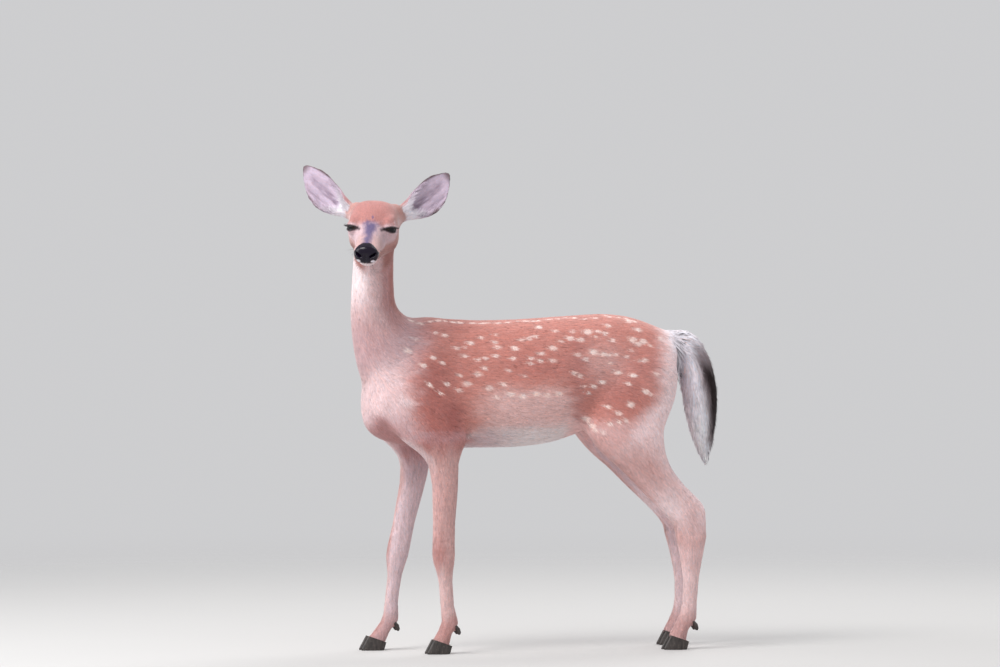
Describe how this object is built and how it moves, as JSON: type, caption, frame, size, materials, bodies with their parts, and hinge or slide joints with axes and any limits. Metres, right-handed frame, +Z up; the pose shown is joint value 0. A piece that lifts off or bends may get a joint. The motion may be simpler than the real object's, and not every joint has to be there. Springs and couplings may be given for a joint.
{
  "type": "white-tailed deer fawn",
  "caption": "Standing white-tailed deer fawn, life size, in spotted summer coat, with its head turned to its left, ears spread and long tail hanging.",
  "frame": {"origin": "on the floor, under the middle of the whole model's box", "axes": "+Z up; the body faces -X, so its left side is -Y and its tail is at +X; the head is turned to its left, towards -Y"},
  "size_m": [0.8968, 0.336, 1.0185],
  "materials": {
    "coat": "short flat hair, reddish brown with pale spots, paling to pinkish white below",
    "tail_hair": "long soft hair, white with a dark brown stripe down the back",
    "ear_skin": "thin skin, short reddish hair behind and pale hair inside",
    "eye": "wet dark brown, nearly black",
    "hoof": "dark horn with a dull shine"
  },
  "bodies": {
    "root": {"head": "coat", "neck": "coat", "trunk": "coat", "tail": "tail_hair", "ear_left": "ear_skin", "ear_right": "ear_skin", "eye_left": "eye", "eye_right": "eye", "forearm_left": "coat", "forearm_right": "coat", "foreshank_left": "coat", "foreshank_right": "coat", "thigh_left": "coat", "thigh_right": "coat", "hindshank_left": "coat", "hindshank_right": "coat", "hoof_fore_left_inner": "hoof", "hoof_fore_left_outer": "hoof", "hoof_fore_right_inner": "hoof", "hoof_fore_right_outer": "hoof", "hoof_hind_left_inner": "hoof", "hoof_hind_left_outer": "hoof", "hoof_hind_right_inner": "hoof", "hoof_hind_right_outer": "hoof", "dewclaw_fore_left_inner": "hoof", "dewclaw_fore_left_outer": "hoof", "dewclaw_fore_right_inner": "hoof", "dewclaw_fore_right_outer": "hoof", "dewclaw_hind_left_inner": "hoof", "dewclaw_hind_left_outer": "hoof", "dewclaw_hind_right_inner": "hoof", "dewclaw_hind_right_outer": "hoof"}
  },
  "joints": []
}
